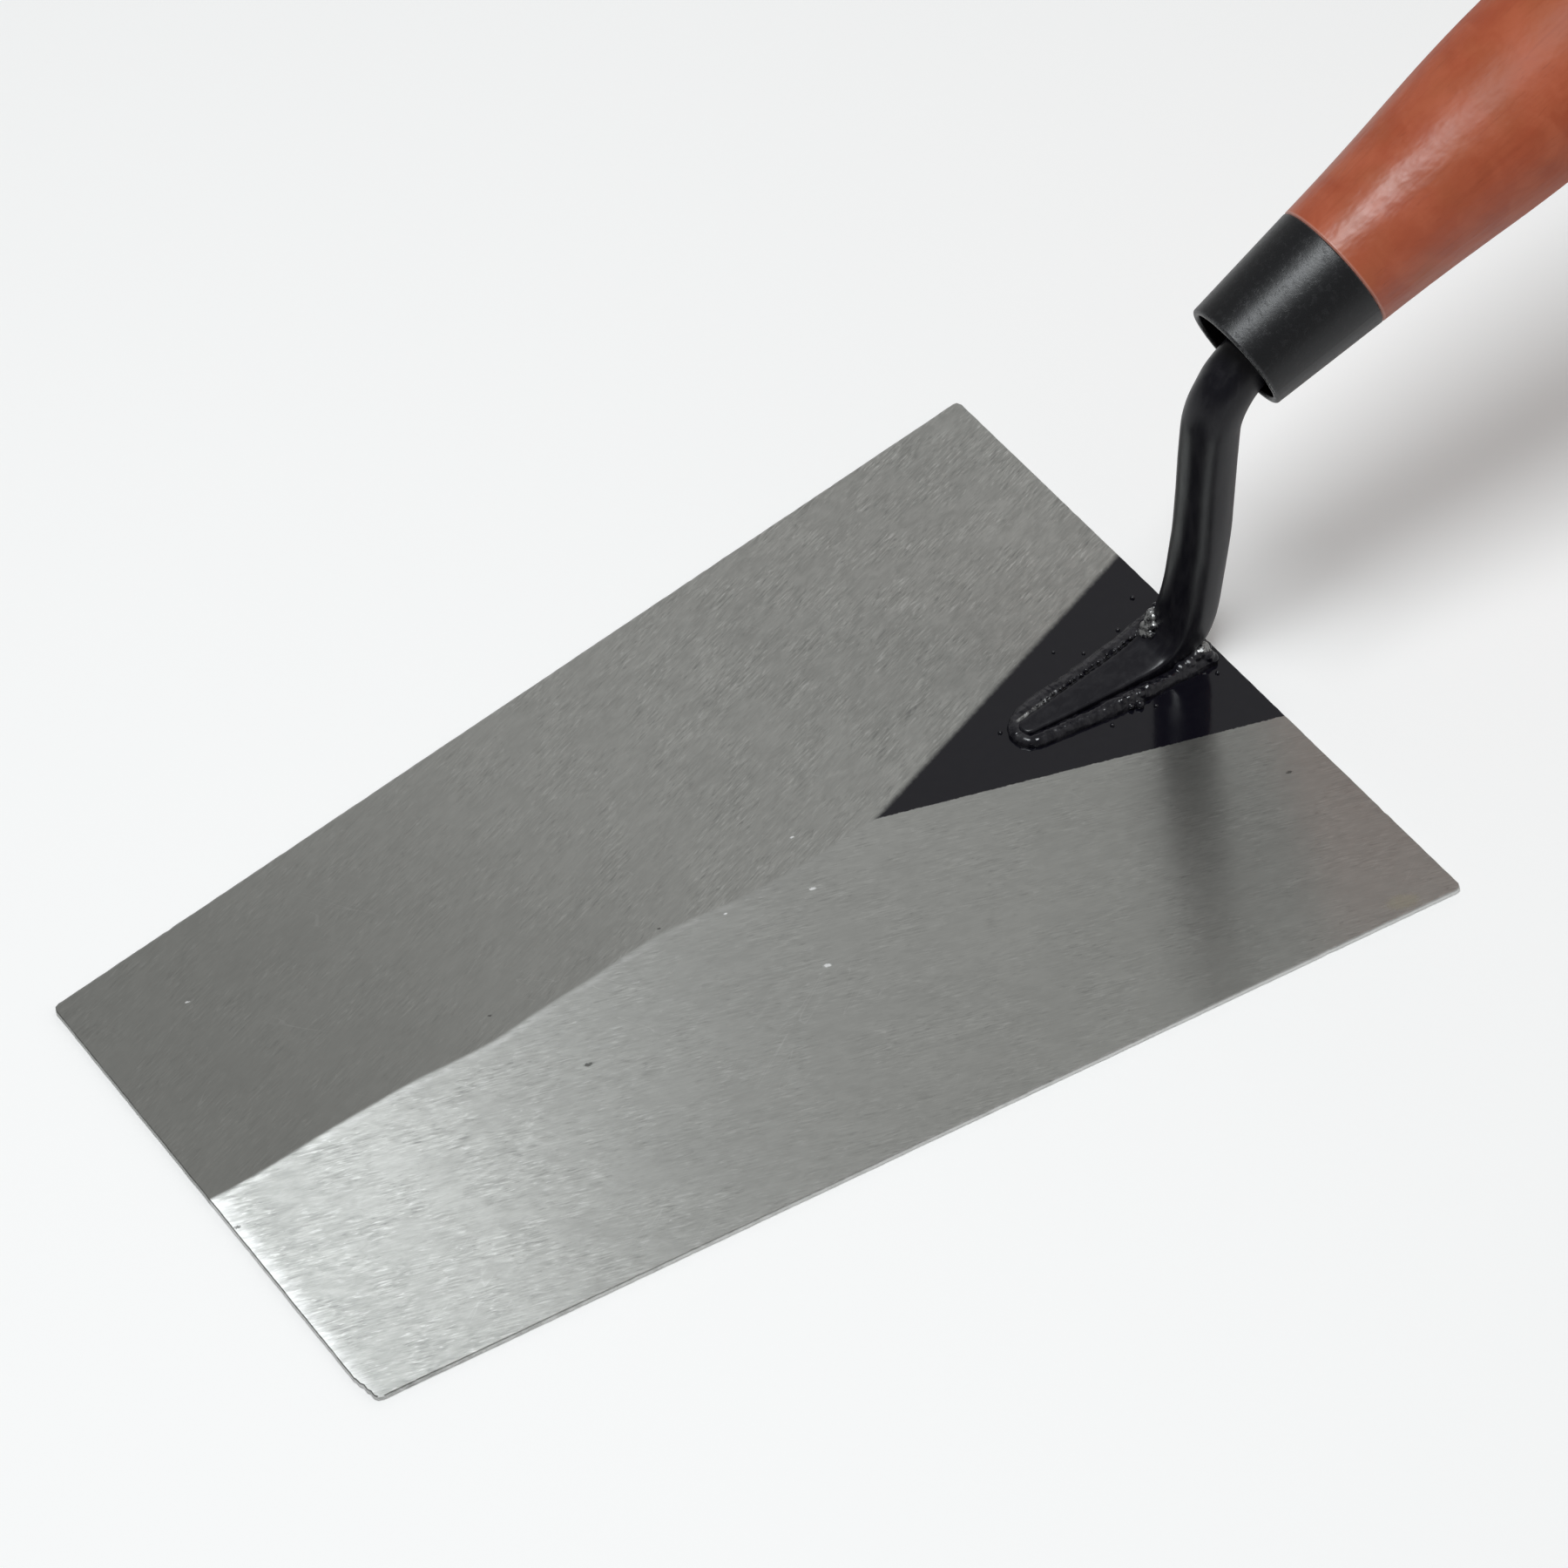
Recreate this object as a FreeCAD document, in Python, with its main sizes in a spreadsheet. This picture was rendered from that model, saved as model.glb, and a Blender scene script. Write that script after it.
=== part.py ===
import FreeCAD, Part
import math
import os
import Sketcher

# A square-nosed plasterer's trowel: a flat steel blade that widens towards its heel, a forged
# shank welded to the blade by its tongue, and a turned handle with a ferrule.
#
# Frame, in millimetres: the origin is the middle of the working face (the blade's underside),
# +Z points out of the blade's back, the nose is at -Y and the heel at +Y. Left and right are
# those of a user who holds the handle and looks at the nose, so left is +X.
#
# The ferrule and the handle are turned about their own +Z axis, which starts in the middle of
# the ferrule's mouth. Their Placement leans that axis up and back over the heel.

DIMENSIONS = (
    # Blade, ground thinner from the ridge down its middle to the rim at its heel corners.
    ("blade_length", 200.0),
    ("nose_width", 94.0),
    ("heel_width", 137.2),
    ("ridge_thickness", 1.2),
    ("rim_thickness", 1.0),
    ("corner_radius", 1.2),
    ("rim_chamfer", 0.15),
    # Neck of the shank, a round rod. Setbacks are measured forward from the heel's edge, and
    # heights up from the working face.
    ("neck_radius", 4.85),
    ("neck_setback", 2.0),
    ("ankle_height", 13.0),
    ("shin_height", 31.0),
    ("shin_radius", 120.0),
    ("shin_lean", 8.0),
    ("bend_radius", 14.0),
    ("tang_depth", 56.0),
    ("tang_chamfer", 2.0),
    # Tongue of the shank, forged flat. Rises are measured up from the ridge.
    ("tongue_toe_setback", 39.0),
    ("tongue_toe_radius", 1.7),
    ("tongue_toe_rise", 1.9),
    ("tongue_root_setback", 8.0),
    ("tongue_root_width", 8.2),
    ("tongue_heel_rise", 3.4),
    ("tongue_draft", 8.0),
    ("tongue_edge_radius", 0.6),
    # Weld around the tongue, shaped like a wider and lower tongue.
    ("weld_toe_setback", 41.0),
    ("weld_toe_radius", 3.7),
    ("weld_toe_rise", 1.55),
    ("weld_root_setback", 0.8),
    ("weld_root_width", 17.8),
    ("weld_heel_rise", 3.05),
    ("weld_draft", 30.0),
    ("weld_edge_radius", 1.2),
    # Ferrule and handle, along the handle's axis from the ferrule's mouth.
    ("handle_angle", 23.9),
    ("mouth_overhang", 1.95),
    ("mouth_height", 67.3),
    ("ferrule_length", 21.7),
    ("ferrule_mouth_radius", 10.1),
    ("ferrule_back_radius", 11.8),
    ("ferrule_wall", 1.3),
    ("ferrule_recess", 5.2),
    ("ferrule_lip_radius", 0.5),
    ("joint_chamfer", 0.25),
    ("bore_clearance", 2.0),
)

# Oval sections of the bend between the tongue and the neck: setback from the heel's edge, rise
# above the ridge, tilt of the section from upright, width and thickness.
BEND_SECTIONS = (
    ("web", 16.0, 0.3, 0.0, 6.8, 4.4),
    ("instep", 8.6, 2.3, 36.0, 8.8, 6.6),
    ("knee", 4.9, 6.4, 64.0, 9.5, 9.0),
)

# Control points of the handle's outside, behind its joint with the ferrule: distance from the
# joint along the axis, and radius. The last one's distance is the length of the handle.
HANDLE_POLES = (
    ("throat", 13.3, 12.75),
    ("flare", 28.3, 14.7),
    ("swell", 46.3, 16.2),
    ("palm", 70.3, 16.2),
    ("tail", 94.3, 15.6),
    ("butt", 112.0, 12.3),
)

X_AXIS = FreeCAD.Vector(1, 0, 0)
Z_AXIS = FreeCAD.Vector(0, 0, 1)

# A sketch's own origin point and its upright axis, by their indices.
CENTRE = (-1, 1)
VERTICAL = -2

# Where the shin's lean puts the ankle: its setback from the heel's edge, and its circle's tilt.
SHIN_DROP = "({shin_height} - {shin_radius} * sin({shin_lean}) - {ankle_height})"
SHIN_ARC_SHIFT = "{shin_radius} * (1 - cos({shin_lean}))"
ANKLE_SETBACK = "{neck_setback} + %s + %s * tan({shin_lean})" % (SHIN_ARC_SHIFT, SHIN_DROP)
ANKLE_TILT = "90 - {shin_lean}"

doc = FreeCAD.newDocument("trowel")
sheet = doc.addObject("Spreadsheet::Sheet", "Dimensions")


# Sheet and sketch helpers


def fill_sheet():
    """Write one row per dimension: its name, its value and the alias that others bind to."""
    rows = list(DIMENSIONS)
    for name, setback, rise, tilt, width, thickness in BEND_SECTIONS:
        rows.append((name + "_setback", setback))
        rows.append((name + "_rise", rise))
        rows.append((name + "_tilt", tilt))
        rows.append((name + "_width", width))
        rows.append((name + "_thickness", thickness))
    for name, reach, radius in HANDLE_POLES:
        rows.append((name + "_reach", reach))
        rows.append((name + "_radius", radius))
    for row, (name, value) in enumerate(rows, start=1):
        sheet.set("A%d" % row, name)
        sheet.set("B%d" % row, str(value))
        sheet.setAlias("B%d" % row, name)
    doc.recompute()


def size(name):
    """The value of one dimension, for drawing a sketch near its final shape."""
    return float(sheet.get(name))


def bind(target, prop, formula):
    """Bind a property to a formula, in which a word in braces is an alias of the sheet."""
    target.setExpression(prop, formula.replace("{", "Dimensions.").replace("}", ""))


def new_body(name):
    body = doc.addObject("PartDesign::Body", name)
    body.Label = name
    return body


def new_sketch(body, name, role):
    """A sketch that lies flat on one of its body's own origin planes."""
    sketch = body.newObject("Sketcher::SketchObject", name)
    plane = [item for item in body.Origin.OriginFeatures if item.Role == role][0]
    sketch.AttachmentSupport = (plane, [""])
    sketch.MapMode = "FlatFace"
    return sketch


def constrain(sketch, kind, where, formula):
    """Add a dimension to the sketch at its drawn size, then bind it to the sheet."""
    if kind == "Radius":
        drawn = sketch.Geometry[where[0]].Radius
    else:
        step = sketch.getPoint(*where[2:]) - sketch.getPoint(*where[:2])
        drawn = {"DistanceX": step.x, "DistanceY": step.y, "Distance": step.Length}[kind]
    index = sketch.addConstraint(Sketcher.Constraint(kind, *where, drawn))
    bind(sketch, "Constraints[%d]" % index, formula)


def place_point(sketch, geometry, point, across, up):
    """Fix a sketch point at bound distances from the sketch's origin."""
    constrain(sketch, "DistanceX", CENTRE + (geometry, point), across)
    constrain(sketch, "DistanceY", CENTRE + (geometry, point), up)


def add_lines(sketch, corners):
    """Draw a closed outline of straight lines with joined ends; returns their indices."""
    points = [FreeCAD.Vector(x, y, 0) for x, y in corners]
    lines = []
    for start, end in zip(points, points[1:] + points[:1]):
        lines.append(sketch.addGeometry(Part.LineSegment(start, end), False))
    for line, following in zip(lines, lines[1:] + lines[:1]):
        sketch.addConstraint(Sketcher.Constraint("Coincident", line, 2, following, 1))
    return lines


def mirror_points(sketch, first, second):
    """Keep two sketch points level and equally far from the sketch's upright axis."""
    sketch.addConstraint(Sketcher.Constraint("Symmetric", *first, *second, VERTICAL))


def add_circle(sketch, drawn_radius, formula):
    circle = sketch.addGeometry(Part.Circle(FreeCAD.Vector(), Z_AXIS, drawn_radius), False)
    sketch.addConstraint(Sketcher.Constraint("Coincident", circle, 3, *CENTRE))
    constrain(sketch, "Radius", (circle,), formula)


def add_oval(sketch, width, thickness):
    """An ellipse about the sketch's origin with its long axis level, bound to two aliases."""
    ellipse = Part.Ellipse(FreeCAD.Vector(), size(width) / 2, size(thickness) / 2)
    oval = sketch.addGeometry(ellipse, False)
    sketch.exposeInternalGeometry(oval)
    long_axis = oval + 1
    short_axis = oval + 2
    sketch.addConstraint(Sketcher.Constraint("Coincident", oval, 3, *CENTRE))
    sketch.addConstraint(Sketcher.Constraint("Horizontal", long_axis))
    constrain(sketch, "Distance", (long_axis, 1, long_axis, 2), "{%s}" % width)
    constrain(sketch, "Distance", (short_axis, 1, short_axis, 2), "{%s}" % thickness)


# Feature helpers


def new_feature(body, kind, name, profile):
    feature = body.newObject("PartDesign::" + kind, name)
    feature.Profile = profile
    return feature


def cut_through(body, name, sketch):
    """Cut the sketch through the whole body, to both sides of its plane."""
    before = body.Shape.Volume
    pocket = new_feature(body, "Pocket", name, sketch)
    pocket.SideType = "Symmetric"
    pocket.Type = "ThroughAll"
    doc.recompute()
    if body.Shape.Volume >= before:
        raise RuntimeError(name + " removed nothing")


def dress_edges(body, kind, name, prop, formula, wanted):
    """Fillet or chamfer those edges of the body's last feature that pass a test."""
    doc.recompute()
    last = body.Tip
    edges = enumerate(last.Shape.Edges, start=1)
    chosen = ["Edge%d" % number for number, edge in edges if wanted(edge)]
    feature = body.newObject("PartDesign::" + kind, name)
    feature.Base = (last, chosen)
    bind(feature, prop, formula)
    doc.recompute()


def is_upright(edge):
    start, end = (vertex.Point for vertex in edge.Vertexes[:2])
    return abs(start.x - end.x) < 1e-6 and abs(start.y - end.y) < 1e-6


def cut_by_roof(body, name, top):
    """Cut away what lies above the blade's two ground facets (top) or below them (not top)."""
    ridge = size("ridge_thickness")
    reach = size("heel_width")
    eaves = 2 * size("rim_thickness") - ridge
    beyond = 2 * ridge if top else -2 * ridge
    sketch = new_sketch(body, name + "Section", "XZ_Plane")
    corners = [(0, ridge), (reach, eaves), (reach, beyond), (-reach, beyond), (-reach, eaves)]
    right, right_end, far, left_end, left = add_lines(sketch, corners)
    place_point(sketch, right, 1, "0", "{ridge_thickness}")
    place_point(sketch, right, 2, "{heel_width}", "2 * {rim_thickness} - {ridge_thickness}")
    mirror_points(sketch, (right, 2), (left_end, 2))
    sketch.addConstraint(Sketcher.Constraint("Vertical", right_end))
    mirror_points(sketch, (far, 1), (far, 2))
    constrain(
        sketch, "DistanceY", CENTRE + (far, 1), "%d * {ridge_thickness}" % (2 if top else -2)
    )
    cut_through(body, name, sketch)


def turned_placement(piece):
    """Lean a turned piece's own +Z axis along the handle, from the ferrule's mouth."""
    lean = FreeCAD.Rotation(X_AXIS, size("handle_angle") - 90)
    piece.Placement = FreeCAD.Placement(FreeCAD.Vector(), lean)
    bind(piece, "Placement.Base.y", "{blade_length} / 2 + {mouth_overhang}")
    bind(piece, "Placement.Base.z", "{mouth_height}")
    bind(piece, "Placement.Rotation.Angle", "{handle_angle} - 90")


# Pieces


def make_blade():
    body = new_body("blade")
    sketch = new_sketch(body, "BladePlan", "XY_Plane")
    half_length = size("blade_length") / 2
    half_nose = size("nose_width") / 2
    half_heel = size("heel_width") / 2
    nose, left, heel, right = add_lines(
        sketch,
        [
            (-half_nose, -half_length),
            (half_nose, -half_length),
            (half_heel, half_length),
            (-half_heel, half_length),
        ],
    )
    mirror_points(sketch, (nose, 1), (nose, 2))
    mirror_points(sketch, (heel, 1), (heel, 2))
    place_point(sketch, nose, 2, "{nose_width} / 2", "-{blade_length} / 2")
    place_point(sketch, heel, 1, "{heel_width} / 2", "{blade_length} / 2")

    plate = new_feature(body, "Pad", "Plate", sketch)
    bind(plate, "Length", "{ridge_thickness}")
    dress_edges(body, "Fillet", "Corners", "Radius", "{corner_radius}", is_upright)
    cut_by_roof(body, "GroundFacets", True)

    def is_on_rim(edge):
        return edge.BoundBox.ZMin > size("rim_thickness") / 2 and not (
            is_upright(edge) or edge.BoundBox.XLength < 1e-6
        )

    dress_edges(body, "Chamfer", "Rim", "Size", "{rim_chamfer}", is_on_rim)
    return body


def add_wedge(body, prefix):
    """A low tapered wedge with a round toe, on the ridge: the tongue, or the weld around it."""
    heel = size("blade_length") / 2
    toe = heel - size(prefix + "_toe_setback")
    radius = size(prefix + "_toe_radius")
    root = heel - size(prefix + "_root_setback")
    half_width = size(prefix + "_root_width") / 2
    toe_centre = FreeCAD.Vector(0, toe + radius, 0)

    plan = new_sketch(body, "Plan", "XY_Plane")
    bind(plan, "AttachmentOffset.Base.z", "{rim_thickness}")
    circle = Part.Circle(toe_centre, Z_AXIS, radius)
    arc = plan.addGeometry(Part.ArcOfCircle(circle, math.pi, 2 * math.pi), False)
    corners = [(radius, toe_centre.y), (half_width, root), (-half_width, root), (-radius, toe_centre.y)]
    points = [FreeCAD.Vector(x, y, 0) for x, y in corners]
    left, back, right = [
        plan.addGeometry(Part.LineSegment(start, end), False)
        for start, end in zip(points, points[1:])
    ]
    plan.addConstraint(Sketcher.Constraint("Tangent", arc, 2, left, 1))
    plan.addConstraint(Sketcher.Constraint("Coincident", left, 2, back, 1))
    plan.addConstraint(Sketcher.Constraint("Coincident", back, 2, right, 1))
    plan.addConstraint(Sketcher.Constraint("Tangent", right, 2, arc, 1))
    plan.addConstraint(Sketcher.Constraint("PointOnObject", arc, 3, VERTICAL))
    mirror_points(plan, (back, 1), (back, 2))
    constrain(plan, "Radius", (arc,), "{%s_toe_radius}" % prefix)
    toe_centre_formula = "{blade_length} / 2 - {%s_toe_setback} + {%s_toe_radius}"
    constrain(plan, "DistanceY", CENTRE + (arc, 3), toe_centre_formula % (prefix, prefix))
    across = "{%s_root_width} / 2" % prefix
    place_point(plan, back, 1, across, "{blade_length} / 2 - {%s_root_setback}" % prefix)

    wedge = new_feature(body, "Pad", "Wedge", plan)
    bind(wedge, "Length", "{%s_heel_rise}" % prefix)
    bind(wedge, "TaperAngle", "-{%s_draft}" % prefix)
    doc.recompute()

    ridge = size("ridge_thickness")
    above = ridge + 2 * size(prefix + "_heel_rise")
    slope = new_sketch(body, "Slope", "YZ_Plane")
    line, back, top, front = add_lines(
        slope,
        [
            (toe, ridge + size(prefix + "_toe_rise")),
            (heel, ridge + size(prefix + "_heel_rise")),
            (heel, above),
            (toe, above),
        ],
    )
    toe_reach = "{blade_length} / 2 - {%s_toe_setback}" % prefix
    place_point(slope, line, 1, toe_reach, "{ridge_thickness} + {%s_toe_rise}" % prefix)
    heel_reach = "{blade_length} / 2"
    place_point(slope, line, 2, heel_reach, "{ridge_thickness} + {%s_heel_rise}" % prefix)
    slope.addConstraint(Sketcher.Constraint("Vertical", back))
    slope.addConstraint(Sketcher.Constraint("Horizontal", top))
    slope.addConstraint(Sketcher.Constraint("Vertical", front))
    height = "{ridge_thickness} + 2 * {%s_heel_rise}" % prefix
    constrain(slope, "DistanceY", CENTRE + (top, 1), height)
    cut_through(body, "SlopedTop", slope)


def round_top(body, prefix):
    """Round the edges of a wedge's sloped top."""
    lowest_top = size("ridge_thickness") + 0.9 * size(prefix + "_toe_rise")

    def is_on_top(edge):
        return edge.BoundBox.ZMin > lowest_top

    dress_edges(body, "Fillet", "TopEdges", "Radius", "{%s_edge_radius}" % prefix, is_on_top)


def tilted_section(body, name, setback, height, tilt):
    """A sketch across the bend: at a setback and a height, leant back from upright."""
    section = new_sketch(body, name, "XZ_Plane")
    section.AttachmentOffset = FreeCAD.Placement(FreeCAD.Vector(), FreeCAD.Rotation(X_AXIS, 1))
    bind(section, "AttachmentOffset.Base.y", height)
    bind(section, "AttachmentOffset.Base.z", "%s - {blade_length} / 2" % setback)
    bind(section, "AttachmentOffset.Rotation.Angle", tilt)
    return section


def add_bend(body):
    """The forged bend: ovals that turn from upright to level and end in the neck's circle."""
    sections = []
    for name, *_ in BEND_SECTIONS:
        height = "{ridge_thickness} + {%s_rise}" % name
        setback = "{%s_setback}" % name
        oval = tilted_section(body, name + "_oval", setback, height, "{%s_tilt}" % name)
        add_oval(oval, name + "_width", name + "_thickness")
        sections.append(oval)
    ankle = tilted_section(body, "ankle_circle", ANKLE_SETBACK, "{ankle_height}", ANKLE_TILT)
    add_circle(ankle, size("neck_radius"), "{neck_radius}")
    sections.append(ankle)
    bend = new_feature(body, "AdditiveLoft", "Bend", sections[0])
    bend.Sections = sections[1:]
    doc.recompute()
    return ankle


def add_neck(body, ankle):
    """The round neck: up from the ankle, back through one bend and along the handle's axis.

    Its shin leans forward at the ankle and turns upright through a long arc.
    """
    heel = size("blade_length") / 2
    radius = size("bend_radius")
    angle = math.radians(size("handle_angle"))
    along = FreeCAD.Vector(math.cos(angle), math.sin(angle), 0)
    mouth = FreeCAD.Vector(heel + size("mouth_overhang"), size("mouth_height"), 0)
    shin_top = FreeCAD.Vector(heel - size("neck_setback"), size("shin_height"), 0)
    shin_centre = FreeCAD.Vector(shin_top.x - size("shin_radius"), shin_top.y, 0)
    lean = math.radians(size("shin_lean"))
    leaning = FreeCAD.Vector(math.cos(lean), -math.sin(lean), 0)
    shin_end = shin_centre + leaning * size("shin_radius")
    drop = shin_end.y - size("ankle_height")
    foot = shin_end - FreeCAD.Vector(drop * math.tan(lean), drop, 0)
    bend_centre = FreeCAD.Vector(shin_top.x + radius, mouth.y - radius, 0)
    bend_end = bend_centre + FreeCAD.Vector(-along.y, along.x, 0) * radius

    path = new_sketch(body, "NeckPath", "YZ_Plane")
    shin = path.addGeometry(Part.LineSegment(foot, shin_end), False)
    shin_circle = Part.Circle(shin_centre, Z_AXIS, size("shin_radius"))
    shin_arc = path.addGeometry(Part.ArcOfCircle(shin_circle, -lean, 0), False)
    upright = path.addGeometry(
        Part.LineSegment(shin_top, FreeCAD.Vector(shin_top.x, bend_centre.y, 0)), False
    )
    circle = Part.Circle(bend_centre, Z_AXIS, radius)
    arc = path.addGeometry(Part.ArcOfCircle(circle, math.pi / 2 + angle, math.pi), False)
    tang = path.addGeometry(
        Part.LineSegment(bend_end, bend_end + along * size("tang_depth")), False
    )
    middle = path.addGeometry(Part.Point(mouth), True)
    path.addConstraint(Sketcher.Constraint("Vertical", upright))
    path.addConstraint(Sketcher.Constraint("Tangent", shin, 2, shin_arc, 1))
    path.addConstraint(Sketcher.Constraint("Tangent", shin_arc, 2, upright, 1))
    path.addConstraint(Sketcher.Constraint("Tangent", upright, 2, arc, 2))
    path.addConstraint(Sketcher.Constraint("Tangent", arc, 1, tang, 1))
    path.addConstraint(Sketcher.Constraint("PointOnObject", middle, 1, tang))
    place_point(path, upright, 1, "{blade_length} / 2 - {neck_setback}", "{shin_height}")
    constrain(path, "Radius", (shin_arc,), "{shin_radius}")
    constrain(path, "DistanceY", (-1, 1, shin, 1), "{ankle_height}")
    lean_angle = path.addConstraint(Sketcher.Constraint("Angle", shin, math.pi / 2 - lean))
    bind(path, "Constraints[%d]" % lean_angle, "(90 - {shin_lean}) * 1 deg")
    place_point(path, middle, 1, "{blade_length} / 2 + {mouth_overhang}", "{mouth_height}")
    constrain(path, "Radius", (arc,), "{bend_radius}")
    slant = path.addConstraint(Sketcher.Constraint("Angle", tang, angle))
    bind(path, "Constraints[%d]" % slant, "{handle_angle} * 1 deg")
    tang_reach = "{ferrule_length} + {tang_depth}"
    constrain(path, "Distance", (middle, 1, tang, 2), tang_reach)

    neck = new_feature(body, "AdditivePipe", "Neck", ankle)
    neck.Spine = (path, [""])
    doc.recompute()

    tang_end = mouth + along * (size("ferrule_length") + size("tang_depth"))

    def is_tang_end(edge):
        centre = edge.BoundBox.Center
        return math.hypot(centre.y - tang_end.x, centre.z - tang_end.y) < 0.1

    dress_edges(body, "Chamfer", "TangEnd", "Size", "{tang_chamfer}", is_tang_end)


def make_shank():
    body = new_body("shank")
    add_wedge(body, "tongue")
    round_top(body, "tongue")
    ankle = add_bend(body)
    add_neck(body, ankle)
    cut_by_roof(body, "BladeContact", False)
    return body


def make_welds(shank):
    """The two weld runs, one on each side of the tongue, which meet at its toe."""
    wedge = new_body("weld_wedge")
    add_wedge(wedge, "weld")
    round_top(wedge, "weld")
    cut_by_roof(wedge, "BladeContact", False)
    ring = doc.addObject("Part::Cut", "weld_ring")
    ring.Base = wedge
    ring.Tool = shank
    runs = []
    for name, edge in (("left_weld", "0"), ("right_weld", "-{weld_root_width}")):
        side = doc.addObject("Part::Box", name + "_side")
        bind(side, "Length", "{weld_root_width}")
        bind(side, "Width", "{blade_length}")
        bind(side, "Height", "{blade_length}")
        bind(side, "Placement.Base.x", edge)
        run = doc.addObject("Part::Common", name)
        run.Label = name
        run.Base = ring
        run.Tool = side
        runs.append(run)
    return runs


def make_ferrule():
    body = new_body("ferrule")
    mouth = size("ferrule_mouth_radius")
    back = size("ferrule_back_radius")
    length = size("ferrule_length")
    wall = size("ferrule_wall")
    sketch = new_sketch(body, "WallSection", "XZ_Plane")
    front_end, outside, back_end, inside = add_lines(
        sketch, [(mouth - wall, 0), (mouth, 0), (back, length), (back - wall, length)]
    )
    place_point(sketch, front_end, 1, "{ferrule_mouth_radius} - {ferrule_wall}", "0")
    place_point(sketch, outside, 1, "{ferrule_mouth_radius}", "0")
    place_point(sketch, back_end, 1, "{ferrule_back_radius}", "{ferrule_length}")
    inner_back = "{ferrule_back_radius} - {ferrule_wall}"
    place_point(sketch, inside, 1, inner_back, "{ferrule_length}")

    turned = new_feature(body, "Revolution", "Wall", sketch)
    turned.ReferenceAxis = (sketch, ["V_Axis"])
    doc.recompute()

    def is_lip(edge):
        return edge.BoundBox.ZMax < 1e-3 and len(edge.Vertexes) == 1

    def is_back_rim(edge):
        is_outer = edge.BoundBox.XLength > 2 * back - wall
        return edge.BoundBox.ZMin > length - 1e-3 and is_outer

    dress_edges(body, "Fillet", "Lip", "Radius", "{ferrule_lip_radius}", is_lip)
    dress_edges(body, "Chamfer", "BackRim", "Size", "{joint_chamfer}", is_back_rim)
    turned_placement(body)
    return body


def make_handle():
    """Turned in one piece: the outside, the rounded butt and the spigot inside the ferrule."""
    body = new_body("handle")
    recess = size("ferrule_recess")
    length = size("ferrule_length")
    back = size("ferrule_back_radius")
    end = length + HANDLE_POLES[-1][1]

    sketch = new_sketch(body, "TurnedSection", "XZ_Plane")
    poles = [FreeCAD.Vector(back, length, 0)]
    for _, reach, radius in HANDLE_POLES:
        poles.append(FreeCAD.Vector(radius, length + reach, 0))
    poles.append(FreeCAD.Vector(0, end, 0))
    curve = Part.BSplineCurve(poles, None, None, False, 3, None, False)
    outside = sketch.addGeometry(curve, False)
    sketch.exposeInternalGeometry(outside)

    joint_pole = outside + 1
    place_point(sketch, joint_pole, 3, "{ferrule_back_radius}", "{ferrule_length}")
    pole = joint_pole
    for pole, (name, _, _) in enumerate(HANDLE_POLES, start=joint_pole + 1):
        height = "{ferrule_length} + {%s_reach}" % name
        place_point(sketch, pole, 3, "{%s_radius}" % name, height)
    place_point(sketch, pole + 1, 3, "0", "{ferrule_length} + {%s_reach}" % name)

    spigot_back = back - size("ferrule_wall")
    spigot_front = size("ferrule_mouth_radius") - size("ferrule_wall")
    spigot_front += (back - size("ferrule_mouth_radius")) * recess / length
    corners = [(0, end), (0, recess), (spigot_front, recess), (spigot_back, length), (back, length)]
    points = [FreeCAD.Vector(x, y, 0) for x, y in corners]
    axis, front, spigot, shoulder = [
        sketch.addGeometry(Part.LineSegment(start, stop), False)
        for start, stop in zip(points, points[1:])
    ]
    chain = [(outside, 2, axis, 1), (axis, 2, front, 1), (front, 2, spigot, 1)]
    chain += [(spigot, 2, shoulder, 1), (shoulder, 2, outside, 1)]
    for ends in chain:
        sketch.addConstraint(Sketcher.Constraint("Coincident", *ends))
    place_point(sketch, front, 1, "0", "{ferrule_recess}")
    taper = "({ferrule_back_radius} - {ferrule_mouth_radius}) / {ferrule_length}"
    front_radius = "{ferrule_mouth_radius} - {ferrule_wall} + {ferrule_recess} * " + taper
    place_point(sketch, spigot, 1, front_radius, "{ferrule_recess}")
    back_radius = "{ferrule_back_radius} - {ferrule_wall}"
    place_point(sketch, shoulder, 1, back_radius, "{ferrule_length}")

    turned = new_feature(body, "Revolution", "Turned", sketch)
    turned.ReferenceAxis = (sketch, ["V_Axis"])

    def is_joint(edge):
        box = edge.BoundBox
        return abs(box.ZMin - length) < 1e-3 and abs(box.XMax - back) < 1e-3 and box.ZLength < 1e-3

    dress_edges(body, "Chamfer", "JointRim", "Size", "{joint_chamfer}", is_joint)

    mouth = new_sketch(body, "BoreMouth", "XY_Plane")
    add_circle(mouth, size("neck_radius"), "{neck_radius}")
    bind(mouth, "AttachmentOffset.Base.z", "{ferrule_recess}")
    before = body.Shape.Volume
    bore = new_feature(body, "Pocket", "TangBore", mouth)
    bore.Reversed = True
    bore_length = "{ferrule_length} - {ferrule_recess} + {tang_depth} + {bore_clearance}"
    bind(bore, "Length", bore_length)
    doc.recompute()
    if body.Shape.Volume >= before:
        raise RuntimeError("the handle's bore removed nothing")
    turned_placement(body)
    return body


def check_and_export(pieces):
    """Stop on any failed object or bad shape, then write one STEP file for each piece."""
    doc.recompute()
    for item in doc.Objects:
        if "Invalid" in item.State or "Error" in item.State:
            raise RuntimeError("%s is %s" % (item.Label, item.State))
    for piece in pieces:
        if piece.Shape.isNull() or not piece.Shape.isValid() or len(piece.Shape.Solids) != 1:
            raise RuntimeError("%s is not one valid solid" % piece.Label)
    os.makedirs("parts", exist_ok=True)
    for piece in pieces:
        piece.Shape.exportStep("parts/%s.step" % piece.Label)


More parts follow.
